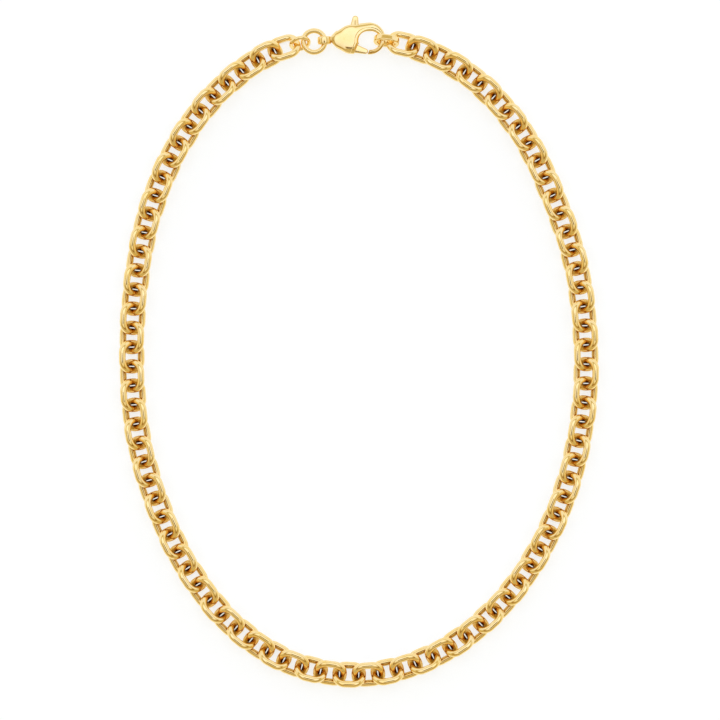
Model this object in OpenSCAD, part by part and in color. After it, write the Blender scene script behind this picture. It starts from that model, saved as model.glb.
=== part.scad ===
// Neck chain of oval wire links with a lobster clasp, lying closed on a flat surface.
// Millimetres, +Z up, origin under the middle of the whole chain.

/* [Chain] */
// Number of links, odd so that both end links lean the same way
link_count = 85; // [65:2:121]
// Distance from one link to the next along the chain
link_pitch = 5; // [4.6:0.1:6]
// Thickness of the link wire
wire_d = 1.8; // [1.4:0.1:2]
// Width of a link over its wire
link_w = 7.8; // [7.2:0.1:8.6]
// Outer radius of a link's corners
link_corner = 3.4; // [2.6:0.1:3.6]
// Angle at which a link leans on the surface, each the other way from the last
link_tilt = 38; // [35:1:45]

/* [Rings] */
// Wire of the round ring in the clasp's eye
ring_wire_d = 1.35; // [1:0.05:1.6]
// Outer diameter of the round ring
ring_d = 6.95; // [6.6:0.05:9]
// Wire of the small ring between the last link and the round ring
small_wire_d = 1; // [0.8:0.05:1.2]
// Lean of the small ring
small_ring_tilt = 55; // [50:1:65]
// Thickness of the hook ring's band
band_t = 1; // [0.8:0.05:1.2]
// Width of the hook ring's band
band_w = 1.65; // [1.2:0.05:1.8]
// Steepness of the hook ring
hook_ring_tilt = 68; // [60:1:75]

/* [Clasp] */
// Width of the clasp's body
body_d = 7.7; // [7:0.1:9]
// Thickness of the clasp's body in its middle
body_t = 3.4; // [3:0.1:4]
// Distance from the body's middle to its narrow end
nose_reach = 5; // [4:0.1:7]
// Thickness of the neck between body and eye
neck_d = 1.5; // [1.2:0.05:2.2]
// Outer diameter of the hook
hook_d = 8.34; // [8:0.02:9.5]
// Distance from the body's middle to the hook's
hook_reach = 4.6; // [4.4:0.1:6]
// Thickness of the hook
hook_t = 1.7; // [1.5:0.05:2]
// Width of the hook's arm where the hook ring hangs
hook_w = 1.35; // [1:0.05:1.5]
// Height of the clasp's hole
hole_d = 4.8; // [4.4:0.05:5.2]
// Wall of the eye
eye_wall = 0.8; // [0.6:0.05:1.2]
// Width of the eye
eye_w = 2.1; // [1.6:0.1:2.4]

/* [Lever] */
// Thickness of the lever
lever_t = 1.1; // [0.8:0.05:1.4]
// Width of the gate that closes the hook
gate_w = 1.48; // [1.2:0.02:1.6]
// How far the thumb tab stands out of the body
tab_reach = 2.25; // [1.5:0.05:3]
// Width of the thumb tab's round end
tab_w = 1.58; // [1.2:0.02:2]
// How far the lever opens
lever_open = 36; // [20:1:38]
// Diameter of the lever's pin
pin_d = 0.8; // [0.6:0.05:1]

/* [Hidden] */
gold = [0.91, 0.71, 0.33];
$fn = 48;

// Clearances
link_play = 0.2;      // slack of one link in the next
thread_gap = 0.13;    // between a ring and what hangs in it
slant_gap = 0.26;     // between two pieces that cross at a slant
hook_seat = 0.66;     // between the hook's inner wall and the end of the hook ring
hook_slack = 0.45;    // between the hook and the first link inside the hook ring
link_seat = 0.45;     // between the first link and the end of the hook ring
slot_gap = 0.1;       // on each side of the lever
swing_gap = 0.15;     // round the lever's outline over its travel
pin_gap = 0.05;       // of the pin in the lever
pin_seat_gap = 0.02;  // of the pin in the body
seam_gap = 0.08;      // between gate and hook

// Headings of the pieces across the top of the loop, in degrees
first_link_heading = -13;
hook_ring_heading = -7;
clasp_heading = 2.5;
jump_ring_heading = 6;
small_ring_heading = 13;
last_link_heading = 18;

// Route of the chain, from the middle of the clasp, clockwise from its first link to its last
ROUTE = [
    [29, -9.5], [42, -23.5], [50.5, -40.5], [56.5, -58.5], [59, -77.5], [58.5, -96], [54.5, -115],
    [47, -132.5], [36, -147.5], [21, -159], [3, -164.5], [-16, -162], [-32, -152], [-44, -137],
    [-52, -120], [-57, -102], [-58.5, -83], [-57.5, -64], [-54, -45.5], [-46.5, -27.5], [-35, -12.5]
];
ROUTE_STEPS = 10;  // straight steps between two points of the route

// The link
link_l = link_pitch + 2 * wire_d + link_play;
link_bar = (link_l - wire_d) / 2;  // from a link's middle to the middle of its end wire
link_r = (link_w - wire_d) / 2;
link_half_h = link_r * sin(link_tilt) + wire_d / 2;

// The clasp in its own frame, long axis along X and hook towards +X
body_r = body_d / 2;
body_x = -1.6;        // of the body's middle from the clasp's
nose_lift = 0.3;      // of the body's narrow end towards the tab's side
nose_at = [body_x - nose_reach, nose_lift];
cheek_reach = 0.49;   // of the body's full cheek from its middle, as a share of the way to its narrow end
cheek_size = 0.69;    // of the cheek against the body's width
cheek_height = 0.82;  // of the cheek against the body's thickness
cheek_at = [body_x - cheek_reach * nose_reach, nose_lift / 3];
hook_x = body_x + hook_reach;
hook_r = hook_d / 2;
cushion_power = 3;    // fullness of body and hook towards their rims, 2 for an ellipse
hole_r = hole_d / 2;
hole_x = hook_x + hook_r - hook_w - hole_r;
hole_y = -0.53;       // of the hole's middle from the hook's
hole_stretch = 0.85;  // how much longer than high the hole is
hole_bevel = 0.6;     // height of the bevel round the hole, below the hook's faces
rim_bevel = 0.8;      // height of the bevel along the body's side of the hole, below the body's faces
mouth_w = 3.24;       // width of the opening that the gate closes

// The eye, wide enough for the round ring's bend and for its turn against the clasp
ring_mid_r = (ring_d - ring_wire_d) / 2;
ring_bend = ring_mid_r - sqrt(pow(ring_mid_r, 2) - pow(eye_w / 2, 2));
ring_turn = eye_w / 2 * sin(jump_ring_heading - clasp_heading);
eye_bore_r = ring_wire_d / 2 + ring_bend / 2 + ring_turn + thread_gap;
eye_r = eye_bore_r + eye_wall;
eye_neck = 0.28;      // between the eye and the middle of the body's narrow end
eye_x = nose_at.x - eye_r - eye_neck;
neck_from = [eye_x + eye_bore_r + eye_wall / 2, 0];
neck_way = nose_at - neck_from;

// The lever
slot_t = lever_t + 2 * slot_gap;
pin_inset = 1.65;     // of the pin from the body's side
pin_recess = 0.35;    // of the pin's end below the clasp's back
pin_hold = 0.45;      // how far the pin reaches into the clasp's front wall
pin_stop = 0.05;      // between the pin and the end of its bore
pin_ahead = 0.1;      // of the pin from the body's middle, towards the hook
pin_at = [body_x + pin_ahead, -body_r + pin_inset];
pin_foot = pin_recess - body_t / 2;
pin_top = slot_t / 2 + pin_hold;
boss_r = 1.25;
gate_r = gate_w / 2;
gate_inset = 0.16;    // of the gate from the hook's side
gate_y = -hook_r + gate_inset + gate_r;
seam_angle = 65;
seam_back = 0.28;     // of the seam from the hook's middle
seam_x = hook_x - seam_back;
gate_at = [seam_x - (gate_r + seam_gap) / sin(seam_angle), gate_y];
tab_r = tab_w / 2;
tab_ahead = 1.2;      // of the tab's end from the body's middle, towards the hook
tab_at = [body_x + tab_ahead, body_r + tab_reach - tab_r];
shoulder_spread = 0.3;  // of the tab's root beyond its end, on each side
shoulder_ahead = 0.95;  // of the tab's root from the body's middle
shoulder_inset = 0.25;  // of the tab's root from the body's side
shoulder_r = tab_r + shoulder_spread;
shoulder_at = [body_x + shoulder_ahead, body_r - shoulder_inset];

// The hook ring, round the hook's arm and the first link
crossing = -10;       // where the hook ring sits on the hook, in degrees
arm_mid = [hook_x, 0] + (hook_r - hook_w / 2) * [cos(crossing), sin(crossing)];
hook_ring_lean = 90 - hook_ring_tilt;
hook_ring_room = (hook_t + band_w * sin(hook_ring_lean)) / cos(hook_ring_lean) + 2 * slant_gap;
hook_ring_hole = hook_seat + hook_w + hook_slack + wire_d + link_seat;
hook_ring_half_h = (hook_ring_room / 2 + band_t) * sin(hook_ring_tilt) + band_w / 2 * cos(hook_ring_tilt);

// The small ring, round the last link and the round ring
small_mid_r = (wire_d + ring_wire_d + 2 * thread_gap + slant_gap + small_wire_d) / 2;
ring_step = (ring_wire_d + small_wire_d) / 2 + slant_gap;

// Height of the middle of every piece over the surface
axis_z = max(link_half_h, hook_ring_half_h, body_t / 2, eye_r);

function along(heading, d) = d * [cos(heading), sin(heading)];
function turned(p, a) = [p.x * cos(a) - p.y * sin(a), p.x * sin(a) + p.y * cos(a)];

// Places across the top, worked out from the clasp outwards
hook_at = turned(arm_mid, clasp_heading);
hook_ring_at = hook_at + along(hook_ring_heading, (hook_ring_hole - hook_w) / 2 - hook_seat);
first_bar = hook_ring_at + along(hook_ring_heading, (hook_ring_hole - wire_d) / 2 - link_seat);
first_link_at = first_bar + along(first_link_heading, link_bar);
eye_at = turned([eye_x, 0], clasp_heading);
jump_ring_at = eye_at - along(jump_ring_heading, ring_mid_r - ring_bend / 2);
ring_far = jump_ring_at - along(jump_ring_heading, ring_mid_r);
small_far = ring_far + along(small_ring_heading, ring_step - 2 * small_mid_r);
small_ring_at = small_far + along(small_ring_heading, small_mid_r);
last_bar = small_far + along(last_link_heading, (small_wire_d + wire_d) / 2 + thread_gap);
last_link_at = last_bar - along(last_link_heading, link_bar);

// A smooth curve through the route's points, scaled until the links fill it
function blend(a, b, c, d, t) =
    (2 * b + (c - a) * t + (2 * a - 5 * b + 4 * c - d) * t * t + (3 * b - a - 3 * c + d) * t * t * t) / 2;
function stops(k) = [
    k * ROUTE[0] - along(first_link_heading, 2 * norm(k * ROUTE[0] - first_link_at)),
    first_link_at,
    for (p = ROUTE) k * p,
    last_link_at,
    k * ROUTE[len(ROUTE) - 1] + along(last_link_heading, 2 * norm(k * ROUTE[len(ROUTE) - 1] - last_link_at))
];
function curve(p) = [
    for (i = [1 : len(p) - 3], j = [0 : ROUTE_STEPS - 1])
        blend(p[i - 1], p[i], p[i + 1], p[i + 2], j / ROUTE_STEPS),
    p[len(p) - 2]
];
function distances(p) = [
    for (i = 0, d = 0; i < len(p); i = i + 1, d = i < len(p) ? d + norm(p[i] - p[i - 1]) : d) d
];
function curve_length(k) = let (d = distances(curve(stops(k)))) d[len(d) - 1];
function fitted(k, tries) = tries == 0 ? k : fitted(k * chain_length / curve_length(k), tries - 1);

chain_length = (link_count - 1) * link_pitch;
path = curve(stops(fitted(1, 6)));
path_at = distances(path);
path_x = [for (i = [0 : len(path) - 1]) [path_at[i], path[i].x]];
path_y = [for (i = [0 : len(path) - 1]) [path_at[i], path[i].y]];
function on_path(d) = [lookup(d, path_x), lookup(d, path_y)];
function heading(d) =
    d <= 0 ? first_link_heading :
    d >= chain_length ? last_link_heading :
    let (v = on_path(d + link_pitch / 2) - on_path(d - link_pitch / 2)) atan2(v.y, v.x);
link_place = [for (i = [0 : link_count - 1]) on_path(i * link_pitch)];
link_heading = [for (i = [0 : link_count - 1]) heading(i * link_pitch)];

// How far a link reaches from its middle along a direction at an angle to its own heading
function link_reach(a) =
    (link_l / 2 - link_corner) * abs(cos(a)) + (link_w / 2 - link_corner) * abs(sin(a)) * cos(link_tilt)
    + (link_corner - wire_d / 2) * norm([cos(a), sin(a) * cos(link_tilt)]) + wire_d / 2;
left_x = min([for (i = [0 : link_count - 1]) link_place[i].x - link_reach(link_heading[i])]);
right_x = max([for (i = [0 : link_count - 1]) link_place[i].x + link_reach(link_heading[i])]);
low_y = min([for (i = [0 : link_count - 1]) link_place[i].y - link_reach(link_heading[i] - 90)]);
high_y = turned(tab_at, clasp_heading).y + tab_r;
middle = [(left_x + right_x) / 2, (low_y + high_y) / 2];

// Puts a piece down at a place of the loop, turned to a heading
module laid(at, heading) {
    translate([at.x - middle.x, at.y - middle.y, axis_z]) rotate([0, 0, heading]) children();
}

// A ring round Z with round corners, swept from the section that is its child
module loop(length, width, thickness, corner) {
    bend = corner - thickness / 2;
    x = length / 2 - corner;
    y = width / 2 - corner;
    union() for (side = [0, 180]) rotate([0, 0, side]) {
        translate([x, y, 0]) rotate_extrude(angle = 90) translate([bend, 0]) children();
        translate([x, -y, 0]) rotate([0, 0, -90]) rotate_extrude(angle = 90) translate([bend, 0]) children();
        translate([-x, y + bend, 0]) rotate([90, 0, 90]) linear_extrude(2 * x) children();
        if (y > 0) translate([x + bend, y, 0]) rotate([90, 0, 0]) linear_extrude(2 * y) children();
    }
}

// A flat bar's section with round corners
module band_section(thickness, width) {
    corner = thickness * 0.3;
    square([thickness, width - 2 * corner], center = true);
    square([thickness - 2 * corner, width], center = true);
    for (x = [-1, 1], y = [-1, 1])
        translate([x * (thickness / 2 - corner), y * (width / 2 - corner)]) circle(corner);
}

// Outline of two circles and their common tangents
module tapered(p, rp, q, rq) {
    d = norm(q - p);
    lean = atan2(q.y - p.y, q.x - p.x);
    tangent = acos((rp - rq) / d);
    translate(p) circle(rp);
    translate(q) circle(rq);
    polygon([
        p + along(lean + tangent, rp), p + along(lean - tangent, rp),
        q + along(lean - tangent, rq), q + along(lean + tangent, rq)
    ]);
}

// A round cushion with a full rim
module cushion(r, half_t) {
    rotate_extrude() polygon([
        [0, -half_t],
        for (a = [-75 : 15 : 75])
            [r * pow(cos(a), 2 / cushion_power), half_t * sign(a) * pow(abs(sin(a)), 2 / cushion_power)],
        [0, half_t]
    ]);
}

module hole_outline() {
    tapered([hole_x, hole_y], hole_r, [hole_x - hole_stretch, hole_y], hole_r);
    at_mouth() square([hook_r + gate_r, mouth_w]);
}

// Puts its child at the lower corner of the opening that the gate closes
module at_mouth() {
    translate([seam_x, gate_y]) rotate(seam_angle) translate([-hook_r, 0]) children();
}

// Slanting walls round the hole on both faces, low along the hook and high along the body
module hole_bevels() {
    rim = rim_bevel + 1;
    for (side = [0, 1]) mirror([0, 0, side]) {
        translate([hole_x, hole_y, hook_t / 2 - hole_bevel])
            cylinder(h = body_t, r1 = hole_r, r2 = hole_r + body_t);
        translate([0, 0, body_t / 2 - rim_bevel]) {
            hull() for (x = [hole_x, hole_x - hole_stretch])
                translate([x, hole_y, 0]) cylinder(h = rim, r1 = hole_r, r2 = hole_r + rim);
            hull() {
                at_mouth() cube([hook_r + gate_r, mouth_w, rim]);
                at_mouth() translate([0, 0, rim - 0.01]) cube([hook_r + gate_r, mouth_w + rim, 0.01]);
            }
        }
    }
}

module gate_outline(grow = 0) {
    tapered(pin_at, boss_r + grow, gate_at, gate_r + grow);
}

module tab_outline(grow = 0) {
    tapered(pin_at, boss_r + grow, shoulder_at, shoulder_r + grow);
    tapered(shoulder_at, shoulder_r + grow, tab_at, tab_r + grow);
}

// Turns its child about the lever's pin
module swung(angle) {
    translate(pin_at) rotate(angle) translate(-pin_at) children();
}

// Room in the body for the lever over its whole travel
module lever_room() {
    linear_extrude(slot_t, center = true) {
        hull() for (a = [0, lever_open]) swung(a) tab_outline(swing_gap);
        hull() for (a = [0, lever_open]) swung(a) gate_outline(swing_gap);
    }
}

module chain() {
    color(gold) for (i = [0 : link_count - 1])
        laid(link_place[i], link_heading[i])
            rotate([i % 2 == 0 ? -link_tilt : link_tilt, 0, 0])
                loop(link_l, link_w, wire_d, link_corner) circle(d = wire_d);
}

module small_ring() {
    color(gold) laid(small_ring_at, small_ring_heading) rotate([small_ring_tilt, 0, 0])
        rotate_extrude() translate([small_mid_r, 0]) circle(d = small_wire_d);
}

module jump_ring() {
    color(gold) laid(jump_ring_at, jump_ring_heading)
        rotate_extrude() translate([ring_mid_r, 0]) circle(d = ring_wire_d);
}

module hook_ring() {
    width = hook_ring_room + 2 * band_t;
    color(gold) laid(hook_ring_at, hook_ring_heading) rotate([hook_ring_tilt, 0, 0])
        loop(hook_ring_hole + 2 * band_t, width, band_t, width / 2) band_section(band_t, band_w);
}

module clasp_body() {
    color(gold) laid([0, 0], clasp_heading) {
        difference() {
            union() {
                hull() {
                    translate([body_x, 0, 0]) cushion(body_r, body_t / 2);
                    translate([hook_x, 0, 0]) cushion(hook_r, hook_t / 2);
                    translate([cheek_at.x, cheek_at.y, 0])
                        cushion(cheek_size * body_r, cheek_height * body_t / 2);
                    translate([nose_at.x, nose_at.y, 0]) cushion(neck_d / 2, neck_d / 2);
                }
                translate([neck_from.x, neck_from.y, 0]) rotate([0, 90, atan2(neck_way.y, neck_way.x)])
                    cylinder(d = neck_d, h = norm(neck_way));
            }
            linear_extrude(2 * body_t, center = true) hole_outline();
            hole_bevels();
            lever_room();
            translate([pin_at.x, pin_at.y, -body_t])
                cylinder(d = pin_d + 2 * pin_seat_gap, h = body_t + pin_top + pin_stop);
        }
        translate([eye_x, 0, 0]) rotate([90, 0, 0])
            rotate_extrude() translate([eye_bore_r + eye_wall / 2, 0]) band_section(eye_wall, eye_w);
    }
}

module lever_pin() {
    color(gold) laid([0, 0], clasp_heading)
        translate([pin_at.x, pin_at.y, pin_foot])
            cylinder(d = pin_d, h = pin_top - pin_foot);
}

module clasp_lever() {
    color(gold) laid([0, 0], clasp_heading)
        linear_extrude(lever_t, center = true) difference() {
            union() {
                gate_outline();
                tab_outline();
            }
            translate(pin_at) circle(d = pin_d + 2 * pin_gap);
        }
}

chain();
small_ring();
jump_ring();
clasp_body();
lever_pin();
clasp_lever();
hook_ring();
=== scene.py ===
"""Oval link neck chain with a lobster clasp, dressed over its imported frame."""

import math

import bmesh
import bpy
import numpy as np
from mathutils import Matrix, Vector


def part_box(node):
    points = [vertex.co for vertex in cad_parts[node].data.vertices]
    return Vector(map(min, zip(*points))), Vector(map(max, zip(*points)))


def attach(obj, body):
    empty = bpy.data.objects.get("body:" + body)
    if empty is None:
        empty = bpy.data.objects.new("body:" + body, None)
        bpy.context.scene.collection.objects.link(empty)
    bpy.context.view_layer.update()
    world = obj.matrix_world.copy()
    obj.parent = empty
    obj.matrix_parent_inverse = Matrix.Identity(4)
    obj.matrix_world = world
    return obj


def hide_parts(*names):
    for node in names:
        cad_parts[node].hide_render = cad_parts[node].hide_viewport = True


bl_info = {
    "name": "Link Neck Chain",
    "version": (1, 0, 0),
    "blender": (4, 5, 0),
    "location": "View3D > Sidebar > Neck Chain",
    "description": "Makes a closed neck chain of oval wire links with a lobster clasp",
    "category": "Add Mesh",
}

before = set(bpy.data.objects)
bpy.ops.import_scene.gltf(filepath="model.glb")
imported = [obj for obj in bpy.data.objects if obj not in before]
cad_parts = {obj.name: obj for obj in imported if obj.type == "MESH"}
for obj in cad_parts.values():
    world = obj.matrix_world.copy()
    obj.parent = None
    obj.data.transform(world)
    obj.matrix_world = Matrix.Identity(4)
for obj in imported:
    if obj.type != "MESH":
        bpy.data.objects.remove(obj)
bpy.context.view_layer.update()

MM = 0.001
NECKLACE = "necklace"
LEVER = "lever"
SHARP = math.radians(40)  # edges that turn by more stay crisp
CREASE = 0.66  # from a cushion's middle to the crease of its face, towards -Y, as a share of its radius


# Places and sizes that the frame gives


def merged_copy(node):
    """A bmesh in millimetres of a CAD node, with its loose triangles joined."""
    bm = bmesh.new()
    bm.from_mesh(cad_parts[node].data)
    bm.transform(Matrix.Scale(1 / MM, 4))
    bmesh.ops.remove_doubles(bm, verts=bm.verts, dist=0.0005)
    return bm


def islands(node):
    """Area-weighted centre, axes and half extents of each loose solid of a CAD node, in millimetres."""
    bm = merged_copy(node)
    bm.verts.index_update()
    places = np.array([v.co for v in bm.verts])
    edges = np.array([[v.index for v in e.verts] for e in bm.edges])
    corners = np.array([[v.index for v in f.verts] for f in bm.faces])
    bm.free()
    label = np.arange(len(places))
    while True:
        lowest = np.minimum(label[edges[:, 0]], label[edges[:, 1]])
        new = label.copy()
        np.minimum.at(new, edges[:, 0], lowest)
        np.minimum.at(new, edges[:, 1], lowest)
        new = new[new]
        if np.array_equal(new, label):
            break
        label = new
    a, b, c = (places[corners[:, k]] for k in range(3))
    area = np.linalg.norm(np.cross(b - a, c - a), axis=1) / 2
    found = []
    for name in np.unique(label):
        mine = label[corners[:, 0]] == name
        weight = area[mine] / area[mine].sum()
        middle = (a[mine] + b[mine] + c[mine]) / 3
        centre = weight @ middle
        spread = (middle - centre).T @ ((middle - centre) * weight[:, None])
        axes = np.linalg.eigh(spread)[1][:, ::-1].T
        half = np.abs((places[label == name] - centre) @ axes.T).max(0)
        found.append((centre, axes, half))
    return found


LINKS = islands("chain")
LINK_HALF = np.median([half for _, _, half in LINKS], axis=0)


# Sizes and colours that a user would change


def length_prop(name, description, value_mm):
    return bpy.props.FloatProperty(
        name=name, description=description, default=value_mm * MM, min=0, unit="LENGTH", precision=6
    )


def angle_prop(name, description, degrees):
    return bpy.props.FloatProperty(
        name=name, description=description, default=math.radians(degrees), subtype="ANGLE"
    )


def count_prop(name, description, count):
    return bpy.props.IntProperty(name=name, description=description, default=count, min=3)


def share_prop(name, description, share):
    return bpy.props.FloatProperty(name=name, description=description, default=share, min=0)


def colour_prop(name, description, colour):
    return bpy.props.FloatVectorProperty(
        name=name, description=description, default=colour, size=3, subtype="COLOR", min=0, max=1
    )


class ChainSizes(bpy.types.PropertyGroup):
    link_length: length_prop("Link length", "Outer length of a link", 2 * LINK_HALF[0])
    link_width: length_prop("Link width", "Outer width of a link", 2 * LINK_HALF[1])
    wire: length_prop("Wire", "Thickness of the link wire", 2 * LINK_HALF[2])
    corner: length_prop("Corner", "Outer radius of a link's corners", 3.4)
    round_steps: count_prop("Steps round the wire", "Faces round the wire's section", 20)
    bend_steps: count_prop("Steps along a bend", "Faces along each round corner of a link", 12)


class RingSizes(bpy.types.PropertyGroup):
    wire: length_prop("Round ring wire", "Wire of the ring in the clasp's eye", 1.35)
    diameter: length_prop("Round ring", "Outer diameter of the ring in the clasp's eye", 6.95)
    small_wire: length_prop("Small ring wire", "Wire of the small ring", 1)
    small_lean: angle_prop("Small ring lean", "Lean of the small ring on the surface", 55)
    small_heading: angle_prop("Small ring heading", "Heading of the small ring along the loop", 13)
    band: length_prop("Hook ring band", "Thickness of the hook ring's band", 1)
    band_width: length_prop("Hook ring band width", "Width of the hook ring's band", 1.65)
    hook_long: length_prop("Hook ring length", "Outer length of the hook ring", 6.71)
    hook_wide: length_prop("Hook ring width", "Outer width of the hook ring", 5.02)
    hook_lean: angle_prop("Hook ring lean", "Steepness of the hook ring", 68)
    hook_heading: angle_prop("Hook ring heading", "Heading of the hook ring along the loop", -7)


class ClaspSizes(bpy.types.PropertyGroup):
    heading: angle_prop("Heading", "Heading of the clasp along the loop", 2.5)
    body: length_prop("Body width", "Width of the clasp's body", 7.7)
    body_thick: length_prop("Body thickness", "Thickness of the body in its middle", 3.4)
    nose_reach: length_prop("Nose", "From the body's middle to its narrow end", 5)
    nose_lift: length_prop("Nose lift", "How far the narrow end lies towards the tab", 0.3)
    neck: length_prop("Neck", "Thickness of the neck between body and eye", 1.5)
    cheek: length_prop("Cheek", "Width of the body's full cheek, towards its narrow end", 5.31)
    lean: share_prop("Lean", "How much thinner the body is towards the tab", 0.32)
    fall: share_prop("Fall", "How much thinner the body is at the edge below the crease", 0.3)
    hook: length_prop("Hook", "Outer diameter of the hook", 8.34)
    hook_reach: length_prop("Hook reach", "From the body's middle to the hook's", 4.6)
    hook_thick: length_prop("Hook thickness", "Thickness of the hook", 1.7)
    hook_arm: length_prop("Hook arm", "Width of the hook's arm where the ring hangs", 1.35)
    hole: length_prop("Hole", "Height of the hole between body and hook", 4.8)
    hole_stretch: length_prop("Hole stretch", "How much longer than high the hole is", 0.85)
    hook_bevel: length_prop("Hook bevel", "Bevel round the hole, below the hook's faces", 0.6)
    rim_bevel: length_prop("Rim bevel", "Bevel along the body's side of the hole, below its faces", 0.8)
    rim: length_prop("Rim", "Width of the lower rim round the hole", 0.95)
    rim_step: share_prop("Rim step", "How much thinner the rim is than the face beside it", 0.1)
    eye_bore: length_prop("Eye bore", "Inner radius of the eye", 0.97)
    eye_wall: length_prop("Eye wall", "Wall of the eye", 0.8)
    eye_width: length_prop("Eye width", "Width of the eye", 2.1)
    lever: length_prop("Lever", "Thickness of the lever", 1.1)
    gate: length_prop("Gate", "Width of the gate that closes the hook", 1.48)
    tab_reach: length_prop("Tab reach", "How far the thumb tab stands out of the body", 2.25)
    tab: length_prop("Tab", "Width of the thumb tab's round end", 1.58)
    opening: angle_prop("Opening", "How far the lever opens", 36)


class Finish(bpy.types.PropertyGroup):
    gold: colour_prop("Gold", "Colour of the polished metal", (1.0, 0.78, 0.37))
    deep_gold: colour_prop("Deep gold", "Colour of the metal where it is slightly toned", (0.97, 0.67, 0.17))
    # Painted shade: the amber colour where parts of a piece come close together
    close_shade_colour: colour_prop("Amber", "Colour of the metal where pieces come close together", (0.68, 0.33, 0.015))
    # Painted shade: the near-black colour deep between two parts
    deep_shade_colour: colour_prop("Recess", "Colour of the metal deep between two pieces", (0.035, 0.009, 0.0005))
    edge: colour_prop("Edge", "Tint of the metal seen at a flat angle", (1.0, 0.94, 0.78))
    polish: share_prop("Polish", "Roughness of the polished metal", 0.09)
    # How far from a neighbouring part the painted shade reaches
    shade_reach: length_prop("Recess reach", "How near a neighbour is where the metal deepens", 3.0)


class Stage(bpy.types.PropertyGroup):
    floor: colour_prop("Floor", "Colour of the floor", (0.44, 0.44, 0.44))
    glow: share_prop("Floor glow", "Brightness of the light table under the floor", 0.72)
    glow_tint: colour_prop("Glow tint", "Colour of the light table", (0.93, 0.97, 1.0))
    view_width: length_prop("View width", "Width of the surface that the camera sees", 187.3)
    camera_height: length_prop("Camera height", "Height of the camera over the surface", 1500)
    aim_x: length_prop("Aim across", "Where the camera looks, across the loop", 0.26)
    aim_y: bpy.props.FloatProperty(
        name="Aim along",
        description="Where the camera looks, along the loop",
        default=-2.2 * MM,
        unit="LENGTH",
    )
    back: share_prop("Back light", "Brightness of the tent behind the piece", 1.16)
    front: share_prop("Front light", "Brightness of the tent before the piece", 0.62)
    key: share_prop("Key light", "Extra brightness of the tent overhead", 0.33)
    gap: share_prop("Gap", "How dark the seam round the overhead light is", 0.45)
    dark_width: angle_prop("Dark place width", "Half width of the camera's dark place in the tent", 12.7)
    dark_height: angle_prop("Dark place height", "Half height of the camera's dark place in the tent", 9.8)
    dark_lean: angle_prop("Dark place lean", "From straight up to the middle of the dark place", 6.3)
    dark_depth: share_prop("Dark place depth", "How much of the light the dark place takes away", 0.95)
    dim: colour_prop("Dark parts", "Colour of the studio where it is dark", (1.0, 0.5, 0.08))
    warm: colour_prop("Walls", "Colour of the studio's walls", (1.0, 0.88, 0.52))
    cool: colour_prop("Tent", "Colour of the tent where it is brightest", (0.82, 0.85, 1.0))


# Material nodes


class Value:
    """A socket in a node tree, which takes part in Python arithmetic."""

    def __init__(self, tree, socket):
        self.tree = tree
        self.socket = socket

    def node(self, kind, settings=None, out=0, **sockets):
        """A node of any type, with its settings first and then its sockets' values or links."""
        made = self.tree.nodes.new(kind)
        for name, value in (settings or {}).items():
            setattr(made, name, value)
        for name, value in sockets.items():
            key = int(name[1:]) if name[0] == "i" and name[1:].isdigit() else name.replace("_", " ")
            socket = made.inputs[key]
            if isinstance(value, Value):
                self.tree.links.new(value.socket, socket)
            else:
                socket.default_value = value
        return Value(self.tree, made.outputs[out])

    def math(self, operation, first, second):
        return self.node("ShaderNodeMath", {"operation": operation}, i0=first, i1=second)

    def __add__(self, other):
        return self.math("ADD", self, other)

    def __radd__(self, other):
        return self.math("ADD", other, self)

    def __sub__(self, other):
        return self.math("SUBTRACT", self, other)

    def __rsub__(self, other):
        return self.math("SUBTRACT", other, self)

    def __mul__(self, other):
        return self.math("MULTIPLY", self, other)

    def __rmul__(self, other):
        return self.math("MULTIPLY", other, self)

    def __truediv__(self, other):
        return self.math("DIVIDE", self, other)

    def __rtruediv__(self, other):
        return self.math("DIVIDE", other, self)

    def band(self, low, high):
        """0 below low, 1 above high, and a smooth step between."""
        return self.node(
            "ShaderNodeMapRange",
            {"interpolation_type": "SMOOTHSTEP"},
            Value=self,
            From_Min=low,
            From_Max=high,
        )


def rgba(colour):
    return (*colour[:3], 1.0)


def mixed(factor, first, second):
    return factor.node(
        "ShaderNodeMix",
        {"data_type": "RGBA", "blend_type": "MIX"},
        out=2,
        i0=factor,
        i6=first,
        i7=second,
    )


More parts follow.
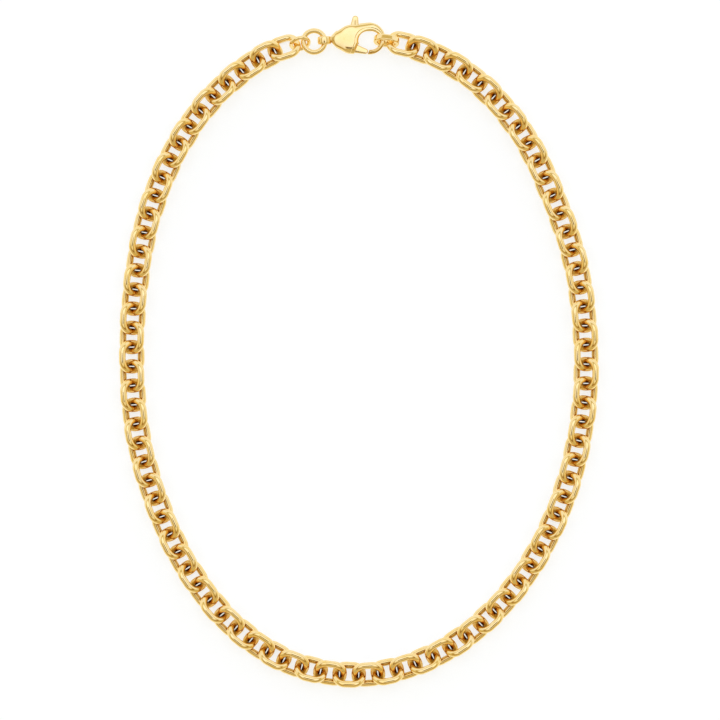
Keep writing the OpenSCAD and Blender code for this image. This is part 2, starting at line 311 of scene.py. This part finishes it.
def polished_gold(name, polish, toning=1.0, ripple=1.0):
    """Polished gold-coloured metal: faint toning, hairline polish marks, a soft hand-finished ripple, and
    painted shade that darkens it to amber and near black where its own parts come close together.
    """
    found = bpy.data.materials.get(name)
    if found:
        return found
    finish = bpy.context.scene.neck_finish
    material = bpy.data.materials.new(name)
    material.use_nodes = True
    tree = material.node_tree
    surface = tree.nodes["Principled BSDF"]
    start = Value(tree, None)
    place = start.node("ShaderNodeTexCoord", out=3)
    broad = start.node("ShaderNodeTexNoise", Vector=place, Scale=330.0, Detail=2.0, Roughness=0.5)
    cloud = start.node("ShaderNodeTexNoise", Vector=place, Scale=1500.0, Detail=3.0, Roughness=0.55)
    stretched = start.node(
        "ShaderNodeMapping", Vector=place, Rotation=(0.4, 0.3, 0.7), Scale=(900.0, 9000.0, 2500.0)
    )
    hair = start.node("ShaderNodeTexNoise", Vector=stretched, Scale=1.0, Detail=2.0, Roughness=0.6)
    tone = (broad.band(0.35, 0.75) * 0.55 + cloud.band(0.4, 0.8) * 0.3) * toning
    skin = mixed(tone, rgba(finish.gold), rgba(finish.deep_gold))
    # Painted shade: the piece's own occlusion darkens the colour towards amber, and near black deep between
    # its parts
    openness = start.node(
        "ShaderNodeAmbientOcclusion",
        {"samples": 8, "only_local": True},
        out=1,
        Distance=finish.shade_reach,
    )
    near = mixed(openness.band(0.2, 0.55), rgba(finish.deep_shade_colour), rgba(finish.close_shade_colour))
    colour = mixed(openness.band(0.45, 0.9), near, skin)
    tree.links.new(colour.socket, surface.inputs["Base Color"])
    rough = cloud * 0.03 + hair.band(0.45, 0.75) * 0.05 + (polish - 0.02)
    tree.links.new(rough.socket, surface.inputs["Roughness"])
    height = broad * (0.05 * ripple) + cloud * (0.008 * ripple) + hair * (0.001 * ripple)
    bump = start.node("ShaderNodeBump", Strength=0.35, Distance=0.0004, Height=height)
    tree.links.new(bump.socket, surface.inputs["Normal"])
    surface.inputs["Metallic"].default_value = 1.0
    surface.inputs["Specular Tint"].default_value = rgba(finish.edge)
    surface.inputs["Coat Weight"].default_value = 0.3
    surface.inputs["Coat Roughness"].default_value = 0.04
    return material


# Making pieces


def to_piece(bm, name, material, body, *nodes):
    """Makes a finished piece of a bmesh in millimetres, on a body, in the place of CAD nodes."""
    bmesh.ops.recalc_face_normals(bm, faces=bm.faces)
    bm.transform(Matrix.Scale(MM, 4))
    for face in bm.faces:
        face.smooth = True
    for edge in bm.edges:
        edge.smooth = edge.calc_face_angle(0) < SHARP
    mesh = bpy.data.meshes.new(name)
    bm.to_mesh(mesh)
    bm.free()
    mesh.materials.append(material)
    piece = bpy.data.objects.new(name, mesh)
    bpy.context.scene.collection.objects.link(piece)
    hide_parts(*nodes)
    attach(piece, body)
    return piece


def add_cushion(bm, centre, radius, half_thick, fullness, dome=0.0, lean=0.0, fall=0.0, steps=72):
    """A round cushion: a sphere with a full rim and domed faces, thinner towards +Y and below the crease."""
    made = bmesh.ops.create_uvsphere(bm, u_segments=steps, v_segments=steps // 2, radius=1)
    power = 2 / fullness
    for vert in made["verts"]:
        x, y, z = vert.co
        ring = math.hypot(x, y)
        out = ring**power if ring > 1e-9 else 0.0
        push = out / ring if ring > 1e-9 else 0.0
        high = math.copysign(abs(z) ** power, z) if abs(z) > 1e-9 else 0.0
        high *= half_thick * (1 - dome * out**2)
        beyond = push * y + CREASE
        high *= 1 - (lean * beyond / (1 + CREASE) if beyond > 0 else fall * -beyond / (1 - CREASE))
        vert.co = (centre[0] + radius * push * x, centre[1] + radius * push * y, high)


def hull_of(bm):
    """Replaces everything in a bmesh by its convex hull."""
    bmesh.ops.delete(bm, geom=bm.edges[:] + bm.faces[:], context="EDGES_FACES")
    bmesh.ops.remove_doubles(bm, verts=bm.verts, dist=0.001)
    made = bmesh.ops.convex_hull(bm, input=bm.verts, use_existing_faces=False)
    spare = {g for g in made["geom_interior"] + made["geom_unused"] if isinstance(g, bmesh.types.BMVert)}
    bmesh.ops.delete(bm, geom=list(spare), context="VERTS")
    return bm


def bar(points, low, high, steps=48):
    """A closed bar whose outline runs round circles, given as (x, y, radius), from low to high along Z."""
    bm = bmesh.new()
    for x, y, radius in points:
        bmesh.ops.create_cone(
            bm,
            cap_ends=True,
            segments=steps,
            radius1=radius,
            radius2=radius,
            depth=high - low,
            matrix=Matrix.Translation((x, y, (low + high) / 2)),
        )
    return hull_of(bm)


def soft_bar(points, half_thick, fullness, dome, lean):
    """A bar round circles, given as (x, y, radius), with domed faces that are thinner towards +Y."""
    bm = bmesh.new()
    for x, y, radius in points:
        add_cushion(bm, (x, y), radius, half_thick, fullness, dome, lean)
    return hull_of(bm)


def round_bar(radius, depth, matrix, steps=64):
    bm = bmesh.new()
    bmesh.ops.create_cone(
        bm, cap_ends=True, segments=steps, radius1=radius, radius2=radius, depth=depth, matrix=matrix
    )
    return bm


def loose_object(bm, name):
    bmesh.ops.recalc_face_normals(bm, faces=bm.faces)
    mesh = bpy.data.meshes.new(name)
    bm.to_mesh(mesh)
    bm.free()
    made = bpy.data.objects.new(name, mesh)
    bpy.context.scene.collection.objects.link(made)
    return made


def evaluated_mesh(thing):
    bpy.context.view_layer.update()
    return bpy.data.meshes.new_from_object(thing.evaluated_get(bpy.context.evaluated_depsgraph_get()))


def add_cut(thing, cut):
    cutter = loose_object(cut, "cut")
    step = thing.modifiers.new("cut", "BOOLEAN")
    step.operation = "DIFFERENCE"
    step.solver = "EXACT"
    step.object = cutter
    return cutter


def take(mesh, bm=None):
    """Moves a mesh into a bmesh."""
    bm = bm or bmesh.new()
    bm.from_mesh(mesh)
    bpy.data.meshes.remove(mesh)
    return bm


def drop(things):
    for thing in things:
        mesh = thing.data
        bpy.data.objects.remove(thing)
        bpy.data.meshes.remove(mesh)


def carved(form, cuts):
    """A form with its cuts taken out of it."""
    form = loose_object(form, "form")
    cutters = [add_cut(form, cut) for cut in cuts]
    bm = take(evaluated_mesh(form))
    drop([form, *cutters])
    return bm


def cast(parts, voxel, passes, drilled=()):
    """Fuses parts that overlap, gives them the soft edges of a cast and tumbled piece, then drills them."""
    bm = bmesh.new()
    for part in parts:
        mesh = bpy.data.meshes.new("part")
        part.to_mesh(mesh)
        part.free()
        take(mesh, bm)
    whole = loose_object(bm, "whole")
    step = whole.modifiers.new("fuse", "REMESH")
    step.mode = "VOXEL"
    step.voxel_size = voxel
    step = whole.modifiers.new("soften", "SMOOTH")
    step.factor = 0.5
    step.iterations = passes
    cutters = [add_cut(whole, cut) for cut in drilled]
    bm = take(evaluated_mesh(whole))
    drop([whole, *cutters])
    return bm


def round_section(bm, radius, steps, matrix):
    made = bmesh.ops.create_circle(bm, cap_ends=False, segments=steps, radius=radius, matrix=matrix)
    return made["verts"]


def edges_of(verts):
    mine = set(verts)
    return list({e for v in verts for e in v.link_edges if e.other_vert(v) in mine})


def drawn(bm, ends, way):
    """Draws a section out along a way."""
    made = bmesh.ops.extrude_edge_only(bm, edges=[g for g in ends if isinstance(g, bmesh.types.BMEdge)])
    ends = [g for g in made["geom"] if isinstance(g, (bmesh.types.BMVert, bmesh.types.BMEdge))]
    bmesh.ops.translate(bm, verts=[g for g in ends if isinstance(g, bmesh.types.BMVert)], vec=way)
    return ends


def loop(section, length, width, thickness, corner, bend_steps):
    """A ring in the XY plane: a section is drawn along each side and spun round each corner."""
    bm = bmesh.new()
    bend = corner - thickness / 2
    x, y = length / 2 - corner, width / 2 - corner
    verts = section(bm, Matrix.Translation((x + bend, -y, 0)) @ Matrix.Rotation(math.radians(90), 4, "X"))
    ends = verts + edges_of(verts)
    sides = (((x, y), (0, 2 * y)), ((-x, y), (-2 * x, 0)), ((-x, -y), (0, -2 * y)), ((x, -y), (2 * x, 0)))
    for pivot, way in sides:
        if math.hypot(*way) > 0.001:
            ends = drawn(bm, ends, (*way, 0))
        made = bmesh.ops.spin(
            bm,
            geom=ends,
            cent=(*pivot, 0),
            axis=(0, 0, 1),
            angle=math.pi / 2,
            steps=bend_steps,
            use_merge=False,
            use_duplicate=False,
        )
        ends = made["geom_last"]
    bmesh.ops.remove_doubles(bm, verts=bm.verts, dist=0.0005)
    bmesh.ops.recalc_face_normals(bm, faces=bm.faces)
    return bm


def wire_ring(diameter, wire, round_steps, bend_steps):
    """A round ring of round wire in the XY plane."""
    return loop(
        lambda bm, matrix: round_section(bm, wire / 2, round_steps, matrix),
        diameter,
        diameter,
        wire,
        diameter / 2,
        bend_steps,
    )


def node_middle(node):
    low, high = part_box(node)
    return (low + high) / 2 / MM


def laid(bm, centre, heading, lean=0.0):
    """Leans a piece about its long axis, turns it to its heading and puts it in its place."""
    turn = Matrix.Rotation(heading, 4, "Z") @ Matrix.Rotation(lean, 4, "X")
    bm.transform(Matrix.Translation(centre) @ turn)
    return bm


# The pieces


class MakeLinks(bpy.types.Operator):
    """Makes the loop of oval wire links"""

    bl_idname = "neck_chain.links"
    bl_label = "Links"

    def execute(self, context):
        sizes = context.scene.neck_links
        wire = sizes.wire / MM
        one = loop(
            lambda bm, matrix: round_section(bm, wire / 2, sizes.round_steps, matrix),
            sizes.link_length / MM,
            sizes.link_width / MM,
            wire,
            sizes.corner / MM,
            sizes.bend_steps,
        )
        pattern = bpy.data.meshes.new("link_pattern")
        one.to_mesh(pattern)
        one.free()
        bm = bmesh.new()
        for centre, axes, _ in LINKS:
            along, across = Vector(axes[0]), Vector(axes[1])
            turn = Matrix((along, across, along.cross(across))).transposed().to_4x4()
            before = len(bm.verts)
            bm.from_mesh(pattern)
            bm.verts.ensure_lookup_table()
            bmesh.ops.transform(bm, matrix=Matrix.Translation(centre) @ turn, verts=bm.verts[before:])
        bpy.data.meshes.remove(pattern)
        material = polished_gold("link_gold", context.scene.neck_finish.polish)
        to_piece(bm, "chain_links", material, NECKLACE, "chain")
        return {"FINISHED"}


class MakeRings(bpy.types.Operator):
    """Makes the small wire ring and the round ring in the clasp's eye"""

    bl_idname = "neck_chain.rings"
    bl_label = "Wire rings"

    def execute(self, context):
        sizes = context.scene.neck_rings
        material = polished_gold("ring_gold", context.scene.neck_finish.polish, toning=0.7, ripple=0.6)
        bm = wire_ring(sizes.diameter / MM, sizes.wire / MM, round_steps=32, bend_steps=24)
        laid(bm, node_middle("jump_ring"), 0)
        to_piece(bm, "round_ring", material, NECKLACE, "jump_ring")

        small_wire = sizes.small_wire / MM
        low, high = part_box("small_ring")
        across = (high.z - low.z) / MM
        small_diameter = (across - small_wire) / math.sin(sizes.small_lean) + small_wire
        bm = wire_ring(small_diameter, small_wire, round_steps=28, bend_steps=20)
        laid(bm, node_middle("small_ring"), sizes.small_heading, sizes.small_lean)
        to_piece(bm, "small_wire_ring", material, NECKLACE, "small_ring")
        return {"FINISHED"}


class MakeHookRing(bpy.types.Operator):
    """Makes the flat-band ring that hangs on the clasp's hook"""

    bl_idname = "neck_chain.hook_ring"
    bl_label = "Hook ring"

    rounding = 0.3  # of the band's edges
    flat = 0.2  # an edge of the section that is longer lies on one of the band's flat sides

    def execute(self, context):
        sizes = context.scene.neck_rings
        band, width = sizes.band / MM, sizes.band_width / MM
        long, wide = sizes.hook_long / MM, sizes.hook_wide / MM

        def section(bm, matrix):
            made = bmesh.ops.create_grid(bm, x_segments=1, y_segments=1, size=0.5, matrix=matrix)
            verts = made["verts"]
            bmesh.ops.scale(bm, vec=(band, width, 1), verts=verts, space=matrix.inverted())
            bmesh.ops.bevel(
                bm,
                geom=verts + edges_of(verts),
                offset=self.rounding,
                offset_type="OFFSET",
                segments=5,
                profile=0.5,
                affect="VERTICES",
                material=-1,
            )
            bmesh.ops.delete(bm, geom=bm.faces[:], context="FACES_ONLY")
            flats = [e for e in bm.edges if e.calc_length() > self.flat]
            bmesh.ops.subdivide_edges(bm, edges=flats, cuts=4)
            return bm.verts[:]

        bm = loop(section, long, wide, band, wide / 2, bend_steps=16)
        laid(bm, node_middle("hook_ring"), sizes.hook_heading, sizes.hook_lean)
        material = polished_gold("ring_gold", context.scene.neck_finish.polish, toning=0.7, ripple=0.6)
        to_piece(bm, "hook_band_ring", material, NECKLACE, "hook_ring")
        return {"FINISHED"}


class ClaspForm:
    """Places of the clasp's parts in its own frame, long axis along X and hook towards +X, in millimetres."""

    body_x = -1.6
    cheek_reach = 0.49  # from the body's middle, as a share of the way to its narrow end
    cheek_height = 0.82  # against the body's thickness
    hole_y = -0.53
    slot_gap = 0.1
    swing_gap = 0.15
    pin_gap = 0.05
    pin_seat_gap = 0.02
    pin_stop = 0.05
    pin_ahead = 0.1
    pin_inset = 1.65
    boss = 1.25
    gate_inset = 0.16
    seam_angle = math.radians(65)
    seam_gap = 0.08
    seam_back = 0.28
    mouth = 3.24
    tab_ahead = 1.2
    shoulder_spread = 0.3
    shoulder_ahead = 0.95
    shoulder_inset = 0.25
    through = 4.0  # more than the clasp's thickness, for cuts that go right through
    bevel_from = -0.1  # a bevel's cut starts this far above the bevel's lower edge
    hole_bevel_to = 1.7
    mouth_bevel_to = 1.6
    mouth_bevel_start = 0.04

    def __init__(self, sizes):
        self.body_r = sizes.body / MM / 2
        self.body_half = sizes.body_thick / MM / 2
        self.nose = (self.body_x - sizes.nose_reach / MM, sizes.nose_lift / MM)
        self.cheek = (self.body_x - self.cheek_reach * sizes.nose_reach / MM, self.nose[1] / 3)
        self.cheek_r = sizes.cheek / MM / 2
        self.lean = sizes.lean
        self.fall = sizes.fall
        self.neck_r = sizes.neck / MM / 2
        self.hook_x = self.body_x + sizes.hook_reach / MM
        self.hook_r = sizes.hook / MM / 2
        self.hook_half = sizes.hook_thick / MM / 2
        self.hole_r = sizes.hole / MM / 2
        self.hole_x = self.hook_x + self.hook_r - sizes.hook_arm / MM - self.hole_r
        self.hole_stretch = sizes.hole_stretch / MM
        self.hook_bevel = sizes.hook_bevel / MM
        self.rim_bevel = sizes.rim_bevel / MM
        self.rim = sizes.rim / MM
        self.rim_step = sizes.rim_step
        self.lever_half = sizes.lever / MM / 2
        self.slot_half = self.lever_half + self.slot_gap
        self.pin = (self.body_x + self.pin_ahead, self.pin_inset - self.body_r)
        self.gate_r = sizes.gate / MM / 2
        gate_y = -self.hook_r + self.gate_inset + self.gate_r
        self.seam_x = self.hook_x - self.seam_back
        self.gate = (self.seam_x - (self.gate_r + self.seam_gap) / math.sin(self.seam_angle), gate_y)
        self.tab_r = sizes.tab / MM / 2
        self.tab = (self.body_x + self.tab_ahead, self.body_r + sizes.tab_reach / MM - self.tab_r)
        self.shoulder_r = self.tab_r + self.shoulder_spread
        self.shoulder = (self.body_x + self.shoulder_ahead, self.body_r - self.shoulder_inset)
        self.eye_bore = sizes.eye_bore / MM
        self.eye_wall = sizes.eye_wall / MM
        self.eye_half = sizes.eye_width / MM / 2
        self.heading = sizes.heading
        self.opening = sizes.opening
        pin = node_middle("lever_pin")
        turned = Matrix.Rotation(self.heading, 2) @ Vector(self.pin)
        self.centre = (pin.x - turned.x, pin.y - turned.y, node_middle("clasp_lever").z)

    def swung(self, place, angle):
        turned = Matrix.Rotation(angle, 2) @ (Vector(place) - Vector(self.pin)) + Vector(self.pin)
        return turned.x, turned.y

    def lever_arms(self, grow=0.0, angles=(0,)):
        """Outlines of the gate, the tab's root and the tab, grown and at each of the lever's angles."""
        boss = (self.pin, self.boss)
        shoulder = (self.shoulder, self.shoulder_r)
        for ends in ((boss, (self.gate, self.gate_r)), (boss, shoulder), (shoulder, (self.tab, self.tab_r))):
            yield [(*self.swung(place, a), radius + grow) for place, radius in ends for a in angles]

    def body(self):
        """Body and hook in one hull, thinner towards the tab so that the face leans that way."""
        bm = bmesh.new()
        shape = {"dome": 0.02, "lean": self.lean, "fall": self.fall}
        add_cushion(bm, (self.body_x, 0), self.body_r, self.body_half, 4.2, **shape)
        add_cushion(bm, self.cheek, self.cheek_r, self.cheek_height * self.body_half, 3.4, **shape)
        add_cushion(bm, (self.hook_x, 0), self.hook_r, self.hook_half, 2.6, dome=0.1)
        add_cushion(bm, self.nose, self.neck_r, self.neck_r, 2.4, steps=48)
        return hull_of(bm)

    def shell(self):
        """The raised face and, thinner, the rim round the hole."""
        yield carved(self.body(), self.rim_cuts())
        rim = self.body()
        rim.transform(Matrix.Diagonal((1, 1, 1 - self.rim_step, 1)))
        yield carved(rim, self.hole_cuts())

    def mouth_cut(self, levels, start=0.0):
        """The opening that the gate closes, with its width beyond the usual at each of two heights."""
        bm = bmesh.new()
        length = self.hook_r + self.gate_r
        for z, extra in levels:
            for x in (-self.hook_r - start, length - self.hook_r):
                for y in (start, self.mouth + extra):
                    bm.verts.new((x, y, z))
        turn = Matrix.Translation((self.seam_x, self.gate[1], 0)) @ Matrix.Rotation(self.seam_angle, 4, "Z")
        bm.transform(turn)
        return hull_of(bm)

    def hole_ends(self):
        return [(self.hole_x - back, self.hole_y) for back in (0, self.hole_stretch)]

    def rim_cuts(self):
        """The hole and mouth with the rim round them."""
        ends = [(*end, self.hole_r + self.rim) for end in self.hole_ends()]
        yield bar(ends, -self.through, self.through, 96)
        yield self.mouth_cut(((-self.through, self.rim), (self.through, self.rim)))

    def hole_cuts(self):
        """The hole and mouth, with slanting walls low along the hook and high along the body."""
        ends = self.hole_ends()
        yield bar([(*end, self.hole_r) for end in ends], -self.through, self.through, 96)
        yield self.mouth_cut(((-self.through, 0), (self.through, 0)))
        for side in (1, -1):
            yield self.funnel(ends[:1], side, self.hook_half - self.hook_bevel)
            low = self.body_half - self.rim_bevel
            yield self.funnel(ends, side, low)
            levels = [(side * (low + rise), rise) for rise in (self.bevel_from, self.mouth_bevel_to)]
            yield self.mouth_cut(levels, self.mouth_bevel_start)

    def funnel(self, ends, side, low):
        """A hole that widens at 45 degrees from a height."""
        bm = bmesh.new()
        for x, y in ends:
            for rise in (self.bevel_from, self.hole_bevel_to):
                place = Matrix.Translation((x, y, side * (low + rise)))
                round_section(bm, self.hole_r + rise, 90, place)
        return hull_of(bm)


class MakeClasp(bpy.types.Operator):
    """Makes the clasp's body with its hook and eye, and the lever's pin"""

    bl_idname = "neck_chain.clasp"
    bl_label = "Clasp body"

    def execute(self, context):
        form = ClaspForm(context.scene.neck_clasp)
        swing = (0, form.opening / 2, form.opening)
        arms = form.lever_arms(form.swing_gap, swing)
        drilled = [bar(arm, -form.slot_half, form.slot_half) for arm in arms]
        low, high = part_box("lever_pin")
        pin_r = (high.x - low.x) / 2 / MM
        pin_top = high.z / MM - form.centre[2]
        seat = pin_r + form.pin_seat_gap
        middle_z = pin_top + form.pin_stop - form.through / 2
        place = Matrix.Translation((*form.pin, middle_z))
        drilled.append(round_bar(seat, form.through, place, 40))
        low_x = (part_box("clasp_body")[0].x / MM - form.centre[0]) / math.cos(form.heading)
        eye_x = low_x + form.eye_bore + form.eye_wall
        start = Vector((eye_x + form.eye_bore + form.eye_wall / 2, 0))
        way = Vector(form.nose) - start
        middle = start + way / 2
        neck = round_bar(
            form.neck_r,
            way.length,
            Matrix.Translation((*middle, 0))
            @ Matrix.Rotation(math.atan2(way.y, way.x), 4, "Z")
            @ Matrix.Rotation(math.radians(90), 4, "Y"),
        )

        squareness = 0.6

        def section(bm, matrix):
            made = bmesh.ops.create_circle(bm, cap_ends=False, segments=32, radius=1, matrix=matrix)
            for vert in made["verts"]:
                x, y, z = matrix.inverted() @ vert.co
                x, y = (math.copysign(abs(v) ** squareness, v) for v in (x, y))
                vert.co = matrix @ Vector((x * form.eye_wall / 2, y * form.eye_half, z))
            return made["verts"]

        eye_r = form.eye_bore + form.eye_wall
        eye = loop(section, 2 * eye_r, 2 * eye_r, form.eye_wall, eye_r, 20)
        eye.transform(Matrix.Translation((eye_x, 0, 0)) @ Matrix.Rotation(math.radians(90), 4, "X"))
        bm = cast((*form.shell(), neck, eye), voxel=0.07, passes=5, drilled=drilled)
        laid(bm, form.centre, form.heading)
        finish = context.scene.neck_finish
        material = polished_gold("clasp_gold", finish.polish, toning=0.6, ripple=0.5)
        to_piece(bm, "clasp_shell", material, NECKLACE, "clasp_body")

        pin = round_bar(pin_r, (high.z - low.z) / MM, Matrix.Translation(node_middle("lever_pin")), 40)
        rims = [e for e in pin.edges if e.calc_face_angle(0) > 1]
        bmesh.ops.bevel(
            pin,
            geom=rims,
            offset=0.08,
            offset_type="OFFSET",
            segments=3,
            profile=0.5,
            affect="EDGES",
            material=-1,
        )
        material = polished_gold("ring_gold", finish.polish, toning=0.7, ripple=0.6)
        to_piece(pin, "pin", material, NECKLACE, "lever_pin")
        return {"FINISHED"}


class MakeLever(bpy.types.Operator):
    """Makes the clasp's lever with its gate and thumb tab"""

    bl_idname = "neck_chain.lever"
    bl_label = "Lever"

    def execute(self, context):
        form = ClaspForm(context.scene.neck_clasp)
        low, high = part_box("lever_pin")
        bore = (high.x - low.x) / 2 / MM + form.pin_gap
        hole = round_bar(bore, form.through, Matrix.Translation((*form.pin, 0)), 40)
        arms = [
            soft_bar(arm, form.lever_half, fullness=4.0, dome=0.05, lean=0.3) for arm in form.lever_arms()
        ]
        bm = cast(arms, voxel=0.045, passes=6, drilled=(hole,))
        laid(bm, form.centre, form.heading)
        finish = context.scene.neck_finish
        material = polished_gold("lever_gold", finish.polish + 0.02, toning=0.5, ripple=0.5)
        to_piece(bm, "lever_arm", material, LEVER, "clasp_lever")
        return {"FINISHED"}


# The studio


class MakeStage(bpy.types.Operator):
    """Makes the floor, the studio light and the camera"""

    bl_idname = "neck_chain.stage"
    bl_label = "Stage"

    def execute(self, context):
        stage = context.scene.neck_stage
        self.floor(context, stage)
        self.studio(context, stage)
        self.camera(context, stage)
        context.scene.view_settings.view_transform = "Standard"
        return {"FINISHED"}

    def floor(self, context, stage):
        bm = bmesh.new()
        bmesh.ops.create_grid(bm, x_segments=1, y_segments=1, size=3.0)
        mesh = bpy.data.meshes.new("floor")
        bm.to_mesh(mesh)
        bm.free()
        floor = bpy.data.objects.new("floor", mesh)
        context.scene.collection.objects.link(floor)
        material = bpy.data.materials.new("floor_paper")
        material.use_nodes = True
        surface = material.node_tree.nodes["Principled BSDF"]
        surface.inputs["Base Color"].default_value = rgba(stage.floor)
        surface.inputs["Roughness"].default_value = 1.0
        surface.inputs["Specular IOR Level"].default_value = 0.0
        surface.inputs["Emission Color"].default_value = rgba(stage.glow_tint)
        surface.inputs["Emission Strength"].default_value = stage.glow
        mesh.materials.append(material)

    def studio(self, context, stage):
        """A tent that is brighter behind the piece and overhead, with the camera's dark place in its top."""
        world = bpy.data.worlds.new("studio")
        world.use_nodes = True
        context.scene.world = world
        tree = world.node_tree
        ground = tree.nodes["Background"]
        start = Value(tree, None)
        way = start.node("ShaderNodeTexCoord", out=0)
        parts = start.node("ShaderNodeSeparateXYZ", Vector=way)
        across, along, up = (Value(tree, parts.socket.node.outputs[axis]) for axis in "XYZ")

        def within(angle, soft):
            """1 inside an angle from straight up, in degrees, and 0 outside, with a soft step between."""
            return up.band(math.cos(math.radians(angle + soft)), math.cos(math.radians(angle - soft)))

        behind = along.band(-0.5, 0.45)
        overhead = within(35, 5)
        seam = within(52, 3) * (1 - within(40, 3))
        light = behind * (stage.back - stage.front) + stage.front
        light = (light + overhead * stage.key) * (1 - seam * stage.gap)

        x = across / math.sin(stage.dark_width)
        y = (along + math.sin(stage.dark_lean)) / math.sin(stage.dark_height)
        dark = (1 - (x * x + y * y).band(0.5, 1.3)) * up.band(0.5, 0.6)
        light = light * (1 - dark * stage.dark_depth)

        walls = mixed(light.band(0.2, 0.75), rgba(stage.dim), rgba(stage.warm))
        colour = mixed(light.band(0.75, 1.2), walls, rgba(stage.cool))
        background = start.node("ShaderNodeLightPath", out=0)
        shown = light * (1 - background) + background
        tree.links.new(shown.socket, ground.inputs["Strength"])
        tree.links.new(colour.socket, ground.inputs["Color"])

    def camera(self, context, stage):
        data = bpy.data.cameras.new("camera")
        data.sensor_width = 36.0
        data.lens = data.sensor_width * stage.camera_height / stage.view_width
        data.clip_start, data.clip_end = 0.1, 20.0
        camera = bpy.data.objects.new("camera", data)
        camera.location = (stage.aim_x, stage.aim_y, stage.camera_height)
        context.scene.collection.objects.link(camera)
        context.scene.camera = camera


class NeckChainPanel(bpy.types.Panel):
    """The steps that make the neck chain"""

    bl_idname = "VIEW3D_PT_neck_chain"
    bl_label = "Neck Chain"
    bl_space_type = "VIEW_3D"
    bl_region_type = "UI"
    bl_category = "Neck Chain"

    def draw(self, context):
        for step in STEPS:
            self.layout.operator(step.bl_idname)


STEPS = (MakeLinks, MakeRings, MakeHookRing, MakeClasp, MakeLever, MakeStage)
GROUPS = {
    "neck_links": ChainSizes,
    "neck_rings": RingSizes,
    "neck_clasp": ClaspSizes,
    "neck_finish": Finish,
    "neck_stage": Stage,
}


def register():
    for group in GROUPS.values():
        bpy.utils.register_class(group)
    for name, group in GROUPS.items():
        setattr(bpy.types.Scene, name, bpy.props.PointerProperty(type=group))
    for made in (*STEPS, NeckChainPanel):
        bpy.utils.register_class(made)


def unregister():
    for made in (NeckChainPanel, *reversed(STEPS)):
        bpy.utils.unregister_class(made)
    for name, group in reversed(GROUPS.items()):
        delattr(bpy.types.Scene, name)
        bpy.utils.unregister_class(group)


def main():
    register()
    bpy.ops.neck_chain.links()
    bpy.ops.neck_chain.rings()
    bpy.ops.neck_chain.hook_ring()
    bpy.ops.neck_chain.clasp()
    bpy.ops.neck_chain.lever()
    bpy.ops.neck_chain.stage()


if __name__ == "__main__":
    main()
